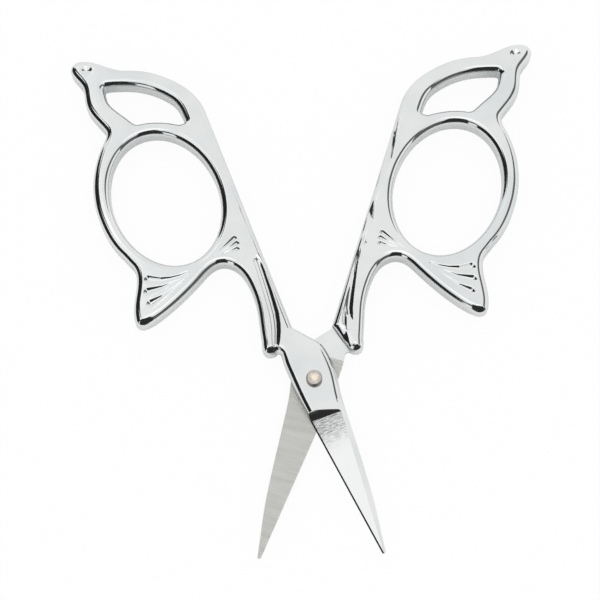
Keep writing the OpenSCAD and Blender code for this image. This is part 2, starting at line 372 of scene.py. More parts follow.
@dataclass
class Rim:
    """Outline whose edge is rounded, as rings that step into the metal.

    Corners where the rings would part are given several copies of their point, which fan out.
    """

    outline: np.ndarray
    is_hole: bool
    radius: Callable[[np.ndarray], np.ndarray]
    base: np.ndarray = field(init=False)
    reach: np.ndarray = field(init=False)

    def __post_init__(self) -> None:
        """Work out the direction in which each point of the rings moves."""
        base, reach = [], []
        side = 1.0 if self.is_hole else -1.0
        count = len(self.outline)
        for i in range(count):
            before = bearing(self.outline[i - 1], self.outline[i])
            after = bearing(self.outline[i], self.outline[(i + 1) % count])
            bend = turn(before, after)
            if bend * side < -20:
                copies = math.ceil(abs(bend) / 12) + 1
                for k in range(copies):
                    base.append(self.outline[i])
                    reach.append(side * outside(before + bend * k / (copies - 1)))
            else:
                base.append(self.outline[i])
                reach.append(side * outside(before + bend / 2) / math.cos(math.radians(bend / 2)))
        self.base = np.array(base)
        self.reach = np.array(reach)

    def ring(self, share: float) -> np.ndarray:
        """Ring that stands in the metal by a share of the radius."""
        return self.base + share * self.radius(self.base)[:, None] * self.reach


# ---------------------------------------------------------------- relief


@dataclass(frozen=True)
class Scoop:
    """Hollow with a round bottom that follows a path, wide or narrow from place to place.

    Attributes:
        path: Points of the form x, y and half width.
        depth: Depth where the path is at its widest.
        crispness: 1 gives a soft rim, and less than that a crisper one.
    """

    path: tuple[tuple[float, float, float], ...]
    depth: float
    crispness: float = 0.75

    def spread(self, points: np.ndarray) -> tuple[np.ndarray, np.ndarray]:
        """Measure points against the scoop.

        Args:
            points: Points of the face.

        Returns:
            How far each lies inside the rim, and the half width nearest to it.
        """
        best = np.full(len(points), -np.inf)
        width = np.ones(len(points))
        for a, b in zip(self.path, self.path[1:]):
            start, along = np.array(a[:2]), np.array(b[:2]) - np.array(a[:2])
            share = np.clip(((points - start) @ along) / float(along @ along), 0, 1)
            half = a[2] + share * (b[2] - a[2])
            within = half - np.linalg.norm(points - start - share[:, None] * along, axis=1)
            nearer = within > best
            best = np.where(nearer, within, best)
            width = np.where(nearer, half, width)
        return best, width

    def depth_at(self, points: np.ndarray) -> np.ndarray:
        """Depth of the hollow at each point."""
        within, width = self.spread(points)
        t = np.clip(within / width, 0, 1)
        widest = max(p[2] for p in self.path)
        t = t**self.crispness
        return self.depth * (width / widest) * t * t * (3 - 2 * t)


@dataclass(frozen=True)
class Relief:
    """All hollows of a face."""

    scoops: tuple[Scoop, ...]

    def depth_at(self, points: np.ndarray) -> np.ndarray:
        """Depth below the flat face at each point."""
        return np.max([scoop.depth_at(points) for scoop in self.scoops], axis=0)

    def clearance(self, points: np.ndarray) -> np.ndarray:
        """Distance from each point to the nearest hollow, negative inside one."""
        return -np.max([scoop.spread(points)[0] for scoop in self.scoops], axis=0)


# ---------------------------------------------------------------- the two halves


@dataclass
class Half:
    """One half of the scissors: winged handle, tang and blade in one casting.

    The handle is a plate with a round edge, with hollows worked into both faces. The tang is the
    front half of its thickness, and a wheel has ground the blade down to its cutting edge.
    """

    plate_t: float = 4.4
    edge_r: float = 1.3
    closed_gap: float = 0.3
    hole_w: float = 21.0
    hole_l: float = 28.8
    hole_up: float = 30.9
    inner_rim: float = 3.35
    outer_rim: float = 3.1
    wing_h: float = 20.7
    wing_out: float = 20.75
    wing_tip_r: float = 2.05
    wing_rim: float = 3.6
    wing_root: float = 4.6
    wing_side: float = 4.6
    window_r: float = 0.55
    bridge: float = 2.95
    eye_d: float = 2.2
    tail_out: float = 26.1
    tail_drop: float = 7.6
    tail_tip_r: float = 1.75
    arch_bridge: float = 2.45
    arch_r: float = 4.3
    leg_w: float = 4.65
    toe_up: float = 7.5
    toe_out: float = 7.0
    toe_r: float = 1.6
    neck_up: float = 11.3
    step_r: float = 1.95
    lap_gap: float = 0.1
    tang_cut_w: float = 4.2
    tang_spine_w: float = 4.5
    tang_r: float = 1.5
    root_down: float = 5.1
    blade_l: float = 35.1
    root_w: float = 7.3
    tip_r: float = 0.35
    tip_back: float = 0.2
    grind_angle: float = 16.5
    edge_land: float = 0.2
    shoulder_r: float = 2.0
    shoulder_turn: float = 11.0
    hone_w: float = 0.28
    hone_angle: float = 42.0
    spine_bevel: float = 0.9
    spine_angle: float = 30.0
    plating_y: float = 5.6
    bore_r: float = 1.52
    ground_flatness: float = 0.9995
    crease: float = 50.0
    ground_crease: float = 13.0
    round_steps: int = 10
    fine_grid: float = 0.13
    coarse_grid: float = 0.9

    def __post_init__(self) -> None:
        """Work out the places that several outlines share."""
        self.inner = self.closed_gap / 2
        self.lap = (self.plate_t + self.lap_gap) / 2
        self.hole_in = self.inner + self.inner_rim
        self.hole_cx = self.hole_in + self.hole_w / 2
        self.hole_cy = self.hole_up + self.hole_l / 2
        self.hole_top = self.hole_up + self.hole_l
        self.rim_out = self.hole_in + self.hole_w + self.outer_rim
        self.wing_top = self.hole_top + self.wing_h
        self.arch_top = self.hole_up - self.arch_bridge
        self.leg_out = self.inner + self.leg_w
        self.tail_y = self.hole_up - self.tail_drop
        self.wing_tip = (self.wing_out, self.wing_top - self.wing_tip_r)
        self.tail_tip = (self.tail_out, self.tail_y)
        self.toe = (self.toe_out - self.toe_r, self.toe_up + self.toe_r)
        self.neck = (self.inner, self.neck_up)
        self.crest = Node(self.wing_out - 8.4, self.wing_top - 5.2, 20)
        self.shoulder = Node(self.hole_in + 3.35, self.wing_top - 8.1, 39)
        reach = math.dist(self.toe, self.neck)
        self.step_heading = bearing(self.toe, self.neck) - math.degrees(math.asin(self.toe_r / reach)) - 360
        self.tip = (-self.tip_back, self.tip_r - self.blade_l)
        root = (self.root_w / 2, -self.root_down)
        to_tip = math.asin(self.tip_r / math.dist(root, self.tip))
        self.edge_turn = -90 - bearing(root, self.tip) - math.degrees(to_tip)

    # outlines

    def handle_nodes(self) -> list[Node]:
        """Outline of the handle from the neck clockwise to the lower side of the toe."""
        wing_tip, tail_tip = self.wing_tip, self.tail_tip
        return [
            Node(self.inner, self.neck_up, 90),
            Node(self.inner, self.hole_top + 0.9, 90),
            self.shoulder,
            self.crest,
            on_circle(wing_tip, self.wing_tip_r, 5),
            on_circle(wing_tip, self.wing_tip_r, -47),
            Node(self.wing_out + 0.85, self.wing_top - 6.25, -87),
            Node(self.wing_out + 1.45, self.wing_top - 10.45, -91),
            Node(self.wing_out - 0.3, self.hole_top + 4.2, -107),
            Node(self.rim_out - 5.1, self.hole_top + 0.45, -51),
            Node(self.rim_out, self.hole_cy + 0.8, -90),
            Node(self.rim_out - 1.75, self.hole_cy - 8.2, -116),
            Node(self.rim_out - 2.75, self.hole_up + 3.7, -115),
            on_circle(tail_tip, self.tail_tip_r, -86),
            on_circle(tail_tip, self.tail_tip_r, -194),
            Node(self.hole_cx - 1.8, self.tail_y + 4.05, -210),
            Node(self.leg_out + self.arch_r, self.arch_top, -180),
            Node(self.leg_out + 0.6, self.arch_top - 3.1, -110),
            Node(self.leg_out, self.arch_top - 7.4, -91),
            Node(self.leg_out + 0.55, self.arch_top - 12.4, -77),
            Node(self.toe_out - 0.5, self.toe_up + 3.6, -78),
            on_circle(self.toe, self.toe_r, -90),
        ]

    def notch_node(self) -> Node:
        """Point on the toe where the fillet to the tang's cutting side starts."""
        return on_circle(self.toe, self.toe_r, -200)

    def step_run(self) -> np.ndarray:
        """Step between handle and tang, from the notch to the neck."""
        end = Node(*self.neck, self.step_heading)
        return smooth_run([self.notch_node(), on_circle(self.toe, self.toe_r, self.step_heading), end])

    def blade_run(self) -> np.ndarray:
        """Tang and blade from the notch round the tip to the neck."""
        notch = self.notch_node()
        low = (-self.tang_spine_w + 1.1, self.neck_up - 4.2)
        neck_heading = bearing(low, self.neck)
        tilt = self.edge_turn
        return smooth_run(
            [
                notch,
                Node(notch.x - 0.8, notch.y - 0.57, -91),
                Node(self.tang_cut_w, 4.5, -92),
                Node(self.root_w / 2, -self.root_down, -90 - tilt),
                on_circle(self.tip, self.tip_r, -90 - tilt),
                on_circle(self.tip, self.tip_r, 98 - 360),
                Node(-0.3 * self.root_w, -0.37 * self.root_down - 0.63 * self.blade_l, 96),
                Node(-self.root_w / 2, -self.root_down, 95),
                Node(-self.tang_spine_w, 1, 90),
                Node(-self.tang_spine_w + 0.15, self.neck_up - 7, 84),
                Node(*low, neck_heading),
                Node(*self.neck, neck_heading),
            ]
        )

    def handle_run(self) -> np.ndarray:
        """Handle from the neck to the notch, without the step."""
        return smooth_run([*self.handle_nodes(), self.notch_node()])

    def window_run(self) -> np.ndarray:
        """Window in the wing."""
        low = (self.inner + self.wing_root + self.window_r, self.hole_top + 0.45)
        high = (self.wing_out - 3.7, self.wing_top - 8.05)
        return smooth_run(
            [
                on_circle(low, self.window_r, 90),
                Node(low[0] + 0.55, self.hole_top + 5.95, 56),
                inset(self.crest, self.wing_rim),
                on_circle(high, self.window_r, 12),
                on_circle(high, self.window_r, -86),
                Node(self.wing_out + 1.45 - self.wing_side, self.wing_top - 11.65, -110),
                Node(self.hole_cx + 1.45, self.hole_top + self.bridge + 2.2, -120),
                Node(self.hole_cx - 0.5, self.hole_top + self.bridge, -174),
                Node(low[0] + 0.9, self.hole_top + self.bridge - 2.9, -146),
                on_circle(low, self.window_r, -168),
                on_circle(low, self.window_r, -270),
            ]
        )

    def hole_run(self) -> np.ndarray:
        """Finger hole."""
        angles = np.radians(-np.arange(0, 360, 3.0))
        return np.stack(
            [self.hole_cx + self.hole_w / 2 * np.cos(angles), self.hole_cy + self.hole_l / 2 * np.sin(angles)], 1
        )

    def fans(self) -> tuple[Scoop, ...]:
        """Petals of the tail and of the small fan beside the arch, the eye, and the thinned tips."""
        eye = (self.wing_tip[0] - 1.2, self.wing_tip[1] - 0.8)
        return (
            Scoop(
                ((14.9, 28.85, 0.24), (16.6, 28.65, 0.38), (18.6, 28.8, 0.5), (20.5, 29.2, 0.7), (22.6, 30.2, 0.95)),
                0.36,
            ),
            Scoop(((15.2, 28.6, 0.04), (18.0, 28.0, 0.14), (20.6, 27.7, 0.42), (23.5, 27.85, 0.92)), 0.36),
            Scoop(((15.3, 28.4, 0.04), (18.3, 27.0, 0.12), (21.2, 25.95, 0.38), (23.75, 25.35, 0.92)), 0.36),
            Scoop(((9.3, 30.3, 0.05), (8.0, 30.75, 0.16), (6.6, 31.35, 0.24), (4.25, 32.3, 0.52)), 0.34),
            Scoop(((9.1, 30.2, 0.05), (6.0, 30.8, 0.15), (4.2, 31.15, 0.5)), 0.3),
            Scoop(((9.0, 30.1, 0.05), (6.2, 30.05, 0.14), (4.5, 30.0, 0.45)), 0.3),
            Scoop(((26.1, 21.3, 1.85), (26.15, 21.3, 1.85)), 0.55),
            Scoop(((5.4, 7.2, 1.95), (5.45, 7.2, 1.95)), 0.55),
            Scoop(((*eye, self.eye_d / 2), (eye[0] + 0.05, eye[1], self.eye_d / 2)), 0.3),
        )

    def front_relief(self) -> Relief:
        """Hollows of the front: the body is nearly plain, and one broad groove runs down the leg."""
        return Relief(
            (
                *self.fans(),
                Scoop(((0.5, 38.2, 0.25), (0.9, 37.2, 0.45), (0.9, 34.5, 0.5), (0.6, 31.2, 0.3)), 0.05),
                Scoop(
                    (
                        (1.6, 26.2, 0.85), (1.7, 24.0, 0.88), (1.95, 20.0, 0.93), (2.2, 17.3, 0.95),
                        (2.45, 15.0, 0.95), (2.88, 13.0, 0.92), (3.35, 11.5, 0.88), (3.95, 10.0, 0.8),
                        (4.3, 9.2, 0.7),
                    ),
                    0.5,
                ),
            )
        )

    def back_relief(self) -> Relief:
        """Hollows of the back: the body stands between two shallow curves, and the leg has two lines."""
        return Relief(
            (
                *self.fans(),
                Scoop(
                    (
                        (0.3, 57.7, 0.15), (0.5, 55.4, 0.5), (0.65, 53.2, 0.7), (0.85, 51.0, 0.85),
                        (1.0, 48.0, 0.95), (0.95, 45.0, 0.9), (0.75, 42.0, 0.8), (0.45, 39.6, 0.55),
                        (0.3, 38.4, 0.25),
                    ),
                    0.4,
                ),
                Scoop(
                    (
                        (0.3, 38.2, 0.2), (0.5, 37.3, 0.5), (0.8, 36.0, 0.66), (1.05, 34.4, 0.78),
                        (1.05, 33.2, 0.8), (0.6, 31.2, 0.45), (0.35, 30.0, 0.15),
                    ),
                    0.2,
                ),
                Scoop(((1.35, 29.7, 0.25), (1.6, 29.3, 0.3)), 0.2),
                Scoop(
                    (
                        (1.0, 26.4, 0.38), (1.1, 24.0, 0.5), (1.47, 20.6, 0.7), (1.78, 18.0, 0.82),
                        (2.2, 15.5, 0.9), (2.7, 14.3, 0.8), (3.3, 13.6, 0.4), (3.7, 13.3, 0.12),
                    ),
                    0.32,
                ),
                Scoop(((1.65, 15.5, 0.35), (2.15, 13.0, 0.4), (2.8, 10.8, 0.4), (3.7, 8.9, 0.35)), 0.25),
                Scoop(((4.2, 10.3, 0.15), (4.7, 8.9, 0.32)), 0.25),
            )
        )

    # mesh

    def rim_radius(self, points: np.ndarray) -> np.ndarray:
        """Radius of the front's edge: smaller on the tang, and next to nothing at the blade's tip."""
        reach = np.minimum(np.linalg.norm(points - self.neck, axis=1), np.linalg.norm(points - self.toe, axis=1))
        below = points[:, 1] < self.neck_up - 0.01
        on_tang = below & (points[:, 0] < self.tang_cut_w + 0.1) & (reach > self.toe_r + 0.01)
        share = np.where(on_tang, np.clip((reach - self.toe_r) / 2.5, 0, 1), 0)
        radius = self.edge_r + share * (self.tang_r - self.edge_r)
        for centre, tip_r in ((self.tail_tip, self.tail_tip_r), (self.toe, self.toe_r)):
            near = np.clip(1 - (np.linalg.norm(points - centre, axis=1) - tip_r) / 2, 0, 1)
            radius = radius + near * np.where(on_tang, 0, 1) * (tip_r - 0.15 - self.edge_r)
        narrow = np.clip((points[:, 1] + self.blade_l) / (self.blade_l - self.root_down), 0.08, 1)
        return radius * np.where(points[:, 1] < -self.root_down, narrow, 1)

    def step_radius(self, points: np.ndarray) -> np.ndarray:
        """Radius of the back's edge: larger along the step between the handle and the tang."""
        heading = math.radians(self.step_heading)
        way = points - self.neck
        off = np.abs(way[:, 0] * math.sin(heading) - way[:, 1] * math.cos(heading))
        down = -(way[:, 0] * math.cos(heading) + way[:, 1] * math.sin(heading))
        length = math.sqrt(math.dist(self.toe, self.neck) ** 2 - self.toe_r**2)
        share = np.clip(down / 1.5, 0, 1) * np.clip((length - down) / 1.5, 0, 1)
        return self.edge_r + np.where(off < 0.05, share, 0) * (self.step_r - self.edge_r)

    def grid(self, loops: Sequence[np.ndarray], relief: Relief | None) -> np.ndarray:
        """Points that fill a face, close together where it has hollows.

        Args:
            loops: Outline of the face, then its holes.
            relief: Hollows of the face, or None for a plain one.

        Returns:
            Points inside the face, clear of its edges.
        """
        low, high = loops[0].min(0), loops[0].max(0)
        spacings = [(self.coarse_grid, 0.5, np.inf)]
        if relief:
            spacings += [(0.4, 0.12, 0.5), (self.fine_grid, -np.inf, 0.12)]
        found = []
        for spacing, nearest, farthest in spacings:
            rows = np.arange(low[1], high[1], spacing * math.sqrt(0.75))
            columns = np.arange(low[0], high[0], spacing)
            x, y = np.meshgrid(columns, rows)
            x = x + np.where(np.arange(len(rows)) % 2, spacing / 2, 0)[:, None]
            points = np.stack([x.ravel(), y.ravel()], 1)
            if relief:
                gap = relief.clearance(points)
                points = points[(gap >= nearest) & (gap < farthest)]
            keep = inside(points, loops[0])
            for hole in loops[1:]:
                keep &= ~inside(points, hole)
            points = points[keep]
            clear = np.min([distance_to(points, loop) for loop in loops], axis=0)
            found.append(points[clear > 0.4 * spacing])
        return np.concatenate(found)

    def fill(self, loops: Sequence[np.ndarray], extra: np.ndarray) -> tuple[np.ndarray, list[list[int]]]:
        """Triangulate a face.

        Args:
            loops: Outline of the face, then its holes.
            extra: Points inside it.

        Returns:
            The points and the triangles between them.
        """
        edges, inner_sides, start = [], set(), 0
        for number, loop in enumerate(loops):
            count = len(loop)
            run = [(start + i, start + (i + 1) % count) for i in range(count)]
            after = np.roll(loop, -1, 0)
            counterclockwise = (loop[:, 0] * after[:, 1] - loop[:, 1] * after[:, 0]).sum() > 0
            inner_sides |= set(run if counterclockwise == (number == 0) else [(b, a) for a, b in run])
            edges += run
            start += count
        outer_sides = {(b, a) for a, b in inner_sides}
        points = [Vector(p) for loop in loops for p in loop] + [Vector(p) for p in extra]
        placed, _, faces, *_ = delaunay_2d_cdt(points, edges, [], 0, 1e-5)
        places = np.array([tuple(p) for p in placed])
        centres = np.array([places[list(f)].mean(0) for f in faces])
        keep = inside(centres, loops[0])
        for hole in loops[1:]:
            keep &= ~inside(centres, hole)
        kept = []
        for face, wanted in zip(faces, keep):
            a, b, c = places[list(face)]
            sliver = abs((b[0] - a[0]) * (c[1] - a[1]) - (b[1] - a[1]) * (c[0] - a[0])) < SLIVER
            sides = set(zip(face, [*face[1:], face[0]]))
            if (wanted and not (sliver and sides & outer_sides)) or (sliver and sides & inner_sides):
                kept.append(list(face))
        return places, kept

    def casting(self) -> Object:
        """Build the half before its blade is ground, in its closed place and in millimetres.

        Returns:
            A mesh whose seams are merged, but for hairline slits at the toe and the tail's tip.
        """
        verts: list[np.ndarray] = []
        faces: list[list[int]] = []

        def add(points: np.ndarray, heights: np.ndarray, polygons: Sequence[Sequence[int]]) -> None:
            start = sum(len(v) for v in verts)
            verts.append(np.column_stack([points, heights]))
            faces.extend([[start + i for i in polygon] for polygon in polygons])

        def strip(lower: tuple[np.ndarray, np.ndarray], upper: tuple[np.ndarray, np.ndarray]) -> None:
            count = len(lower[0])
            quads = [[i, (i + 1) % count, count + (i + 1) % count, count + i] for i in range(count)]
            add(np.concatenate([lower[0], upper[0]]), np.concatenate([lower[1], upper[1]]), quads)

        front_relief, back_relief = self.front_relief(), self.back_relief()
        angles = [math.radians(90 * k / self.round_steps) for k in range(self.round_steps + 1)]
        shares = [(1 - math.cos(a), 1 - math.sin(a)) for a in angles] + [(1.035, 0.0)]

        def rounded(rim: Rim, front: bool) -> np.ndarray:
            """Add the round edge of one rim and give the ring where the flat face starts."""
            relief = front_relief if front else back_relief
            previous = None
            for along, drop in shares:
                ring = rim.ring(along)
                height = self.plate_t - drop * rim.radius(rim.base) - relief.depth_at(ring)
                level = (ring, height if front else self.plate_t - height)
                if previous:
                    strip(previous, level)
                previous = level
            return previous[0]

        def wall(rim: Rim, low: float | None, high: float | None) -> None:
            """Add the upright wall of a rim between two heights, or up or down to its round edge."""
            edge = rim.radius(rim.base)
            below = edge + back_relief.depth_at(rim.base) if low is None else np.full(len(rim.base), low)
            above = self.plate_t - edge - front_relief.depth_at(rim.base)
            if high is not None:
                above = np.full(len(rim.base), high)
            strip((rim.base, below), (rim.base, above))

        def plain_radius(points: np.ndarray) -> np.ndarray:
            return np.full(len(points), self.edge_r)

        handle, step, blade = self.handle_run(), self.step_run(), self.blade_run()
        whole = Rim(np.concatenate([handle, blade]), False, self.rim_radius)
        back = Rim(np.concatenate([handle, step]), False, self.step_radius)
        holes = [Rim(self.hole_run(), True, plain_radius), Rim(self.window_run(), True, plain_radius)]

        front_loops = [rounded(rim, True) for rim in (whole, *holes)]
        back_loops = [rounded(rim, False) for rim in (back, *holes)]
        wall(whole, self.lap, None)
        wall(back, None, self.lap)
        for rim in holes:
            wall(rim, None, None)

        places, triangles = self.fill(front_loops, self.grid(front_loops, front_relief))
        add(places, self.plate_t - front_relief.depth_at(places), triangles)
        places, triangles = self.fill(back_loops, self.grid(back_loops, back_relief))
        add(places, back_relief.depth_at(places), triangles)
        lap_loop = np.concatenate([blade, [self.neck], step[::-1][:-1]])
        places, triangles = self.fill([lap_loop], self.grid([lap_loop], None))
        add(places, np.full(len(places), self.lap), triangles)

        mesh = bpy.data.meshes.new("half")
        mesh.from_pydata([tuple(p) for p in np.concatenate(verts)], [], faces)
        obj = bpy.data.objects.new("half", mesh)
        bpy.context.scene.collection.objects.link(obj)
        select_parts(obj, "VERT", lambda part: True)
        close_seams(MERGE_MM)
        return obj

    def slab(self, name: str) -> Object:
        """Box that reaches past the blade, with the middle of one lower edge at the origin."""
        reach = 2 * self.blade_l
        place = (0, -reach / 2, self.plate_t / 2)
        bpy.ops.mesh.primitive_cube_add(size=1, location=place, scale=(reach, reach, self.plate_t))
        obj = name_new(name)
        bpy.ops.object.transform_apply(location=True, rotation=False, scale=True)
        return obj

    def edge_root(self) -> Matrix:
        """Place of the cutting edge's root."""
        return Matrix.Translation((self.root_w / 2, -self.root_down, self.lap + self.edge_land))

    def wheel_turn(self) -> Matrix:
        """Turn of the flat that the wheel grinds."""
        return (
            Matrix.Rotation(math.radians(-self.edge_turn), 4, "Z")
            @ Matrix.Rotation(math.radians(self.grind_angle), 4, "Y")
            @ Matrix.Rotation(math.radians(self.shoulder_turn), 4, "Z")
        )

    def wheel(self) -> Object:
        """Cutter with a round lower edge that takes the front off the blade."""
        obj = self.slab("wheel")
        select_parts(obj, "EDGE", lambda e: all(math.hypot(v.co.y, v.co.z) < 10 * MERGE_MM for v in e.verts))
        bpy.ops.mesh.bevel(offset=self.shoulder_r, segments=10, profile=0.3, affect="EDGES")
        bpy.ops.object.mode_set(mode="OBJECT")
        obj.data.transform(self.edge_root() @ self.wheel_turn())
        return obj

    def spine_cutter(self) -> Object:
        """Cutter that bevels the spine beside the ground face."""
        start = (self.spine_bevel - self.root_w / 2, -self.root_down)
        end = (self.tip[0] - self.tip_r / 2, self.tip[1])
        slope = math.sin(math.radians(self.grind_angle))
        root_z = self.lap + self.edge_land + (self.root_w - self.spine_bevel) * slope
        tip_z = self.lap + self.edge_land + 2 * self.tip_r * slope
        rise = math.atan((root_z - tip_z) / (start[1] - end[1]))
        obj = self.slab("spine_cutter")
        obj.data.transform(
            Matrix.Translation((*start, root_z))
            @ Matrix.Rotation(math.radians(bearing(start, end) + 90), 4, "Z")
            @ Matrix.Rotation(math.radians(-self.spine_angle), 4, "Y")
            @ Matrix.Rotation(rise, 4, "X")
        )
        return obj

    def hone(self) -> Object:
        """Cutter that hones a narrow second bevel along the cutting edge."""
        obj = self.slab("hone")
        rise = self.hone_w * math.tan(math.radians(self.grind_angle))
        obj.data.transform(
            self.edge_root()
            @ Matrix.Rotation(math.radians(-self.edge_turn), 4, "Z")
            @ Matrix.Translation((-self.hone_w, -self.shoulder_r, rise))
            @ Matrix.Rotation(math.radians(self.hone_angle), 4, "Y")
        )
        return obj

    def bore_cutter(self) -> Object:
        """Cutter for the pivot's plain hole; the rivet's hidden head stands in the rear half's metal."""
        bpy.ops.mesh.primitive_cylinder_add(vertices=64, radius=self.bore_r, depth=4 * self.plate_t)
        return name_new("bore_cutter")

    def build(self) -> Object:
        """Cast, grind and bore one half, closed and in millimetres."""
        obj = self.casting()
        for cutter in (self.wheel(), self.spine_cutter(), self.hone(), self.bore_cutter()):
            cut_away(obj, cutter)
        return obj

    def mark(self, obj: Object) -> None:
        """Give each face its material slot, each ground edge its crispness and each point its closed place.

        Args:
            obj: Closed half, in millimetres.
        """
        mesh = bmesh.new()
        mesh.from_mesh(obj.data)
        layer = mesh.loops.layers.uv.new("closed")
        lap = [f for f in mesh.faces if self.is_lap(f)]
        parts = dict.fromkeys(part for face in lap for part in (face, *face.edges, *face.verts))
        bmesh.ops.bisect_plane(mesh, geom=list(parts), plane_co=(0, self.plating_y, 0), plane_no=(0, 1, 0))
        for face in mesh.faces:
            face.smooth = True
            centre = face.calc_center_median()
            face.material_index = Surface.PLATED.value
            if self.is_lap(face) and centre.y < self.plating_y:
                face.material_index = Surface.INNER.value
            elif centre.y < -self.root_down + 2 and face.normal.z > 0.3 and self.is_ground(face):
                face.material_index = Surface.GROUND.value
            for loop in face.loops:
                loop[layer].uv = (loop.vert.co.x, loop.vert.co.y)
        for edge in mesh.edges:
            if len(edge.link_faces) == 2:
                middle = (edge.verts[0].co + edge.verts[1].co) / 2
                kinds = {face.material_index for face in edge.link_faces}
                angle = math.degrees(edge.calc_face_angle(0.0))
                near_lap = abs(middle.z - self.lap) < 0.02
                ground = angle > self.ground_crease and (near_lap or middle.y < -self.root_down)
                edge.smooth = not (len(kinds) > 1 or angle > self.crease or ground)
        mesh.to_mesh(obj.data)
        mesh.free()

    def is_lap(self, face: bmesh.types.BMFace) -> bool:
        """Tell whether a face lies in the flat on which the two halves pass each other."""
        return abs(face.normal.z + 1) < LEAN and abs(face.calc_center_median().z - self.lap) < 1e-2

    def is_ground(self, face: bmesh.types.BMFace) -> bool:
        """Tell whether a face lies in the flat that the wheel has ground."""
        normal = self.wheel_turn().to_3x3().inverted() @ face.normal
        return normal.z > self.ground_flatness

    def place(self, source: Object, side: Side) -> Object:
        """Copy the closed half into one of its two places.

        Args:
            source: Closed half, in millimetres.
            side: Which of the two halves to make.

        Returns:
            The half in metres, at rest.
        """
        obj = source.copy()
        obj.data = source.data.copy()
        obj.name = obj.data.name = side.value + "_steel"
        bpy.context.scene.collection.objects.link(obj)
        if side is Side.FRONT:
            move = Matrix.Rotation(math.radians(OPEN_ANGLE / 2), 4, "Z") @ Matrix.Scale(-1, 4, (1, 0, 0))
        else:
            turn_over = Matrix.Translation((0, 0, self.plate_t)) @ Matrix.Scale(-1, 4, (0, 0, 1))
            move = Matrix.Rotation(math.radians(-OPEN_ANGLE / 2), 4, "Z") @ turn_over
        obj.data.transform(Matrix.Scale(MM, 4) @ move)
        obj.data.flip_normals()
        apply_modifier(obj, "WEIGHTED_NORMAL", keep_sharp=True, weight=60)
        return obj


# ---------------------------------------------------------------- the rivet


@dataclass
class Rivet:
    """Pivot rivet, turned as one piece: proud, softly domed end in front and a flush head behind."""

    shank_r: float = 1.5
    top: float = 5.5
    head_r: float = 2.5
    head_rim: float = 0.25
    chamfer: float = 0.25
    dome: float = 0.06

    def build(self) -> Object:
        """Turn the rivet's section about its axis.

        Returns:
            The rivet in metres.
        """
        edge = self.shank_r - self.chamfer
        fall = self.top - self.dome
        section = [
            (0.0, 0.0),
            (self.head_r - 0.06, 0.0),
            (self.head_r - 0.018, 0.018),
            (self.head_r, 0.06),
            (self.head_r, self.head_rim),
            (self.shank_r, self.head_rim + self.head_r - self.shank_r),
            (self.shank_r, fall - self.chamfer),
        ]
        for k in range(1, 7):
            angle = math.radians(15 * k)
            rise = self.chamfer * math.sin(angle)
            section.append((edge + self.chamfer * math.cos(angle), fall - self.chamfer + rise))
        for k in range(5, -1, -1):
            r = edge * k / 6
            section.append((r, self.top - self.dome * (r / edge) ** 2))
        mesh = bpy.data.meshes.new("pivot_rivet_steel")
        verts = [(r * MM, 0, z * MM) for r, z in section]
        mesh.from_pydata(verts, [(i, i + 1) for i in range(len(section) - 1)], [])
        obj = bpy.data.objects.new("pivot_rivet_steel", mesh)
        bpy.context.scene.collection.objects.link(obj)
        select_parts(obj, "VERT", lambda part: True)
        bpy.ops.mesh.spin(steps=72, angle=math.tau, center=(0, 0, 0), axis=(0, 0, 1))
        close_seams(MERGE_MM * MM)
        bpy.ops.object.shade_smooth_by_angle(angle=math.radians(35))
        return obj


# ---------------------------------------------------------------- finishes


def new_material(name: str) -> tuple[Material, NodeTree, bpy.types.Node]:
    """Start a material that has only its Principled shader and output.

    Args:
        name: Name of the material.

    Returns:
        The material, its node tree and its Principled node.
    """
    material, tree = bare_material(name)
    shader = add_node(tree, "BsdfPrincipled")
    add_node(tree, "OutputMaterial", Surface=shader.outputs["BSDF"])
    return material, tree, shader


@dataclass(frozen=True)
class ChromePlating:
    """Bright chrome plating on a hand-polished casting.

    It mirrors the studio in broad soft shapes. The polishing leaves slow waves that make the
    borders of the dark reflections wander, and faint cloudy wear in the gloss.
    """

    colour: str = "#e4e6e6"
    worn: str = "#dadddd"
    roughness: float = 0.07
    wear: float = 0.05
    cloud_mm: float = 9.0
    wave_mm: float = 5.0
    wave_height_mm: float = 0.02

    def make(self) -> Material:
        """Build the node material."""
        material, tree, shader = new_material("chrome_plating")
        place = add_node(tree, "TexCoord").outputs["Object"]
        clouds = clouds_of(tree, place, self.cloud_mm, 3.0)
        tint = colour_steps(tree, clouds, [(0.35, self.worn), (0.65, self.colour)])
        gloss = remap(tree, clouds, (0.3, 0.7), (self.roughness + self.wear, self.roughness))
        normal = relief_normal(tree, clouds_of(tree, place, self.wave_mm, 1.0), self.wave_height_mm)
        set_inputs(tree, shader, Base_Color=tint, Roughness=gloss, Normal=normal, Metallic=1.0)
        return material


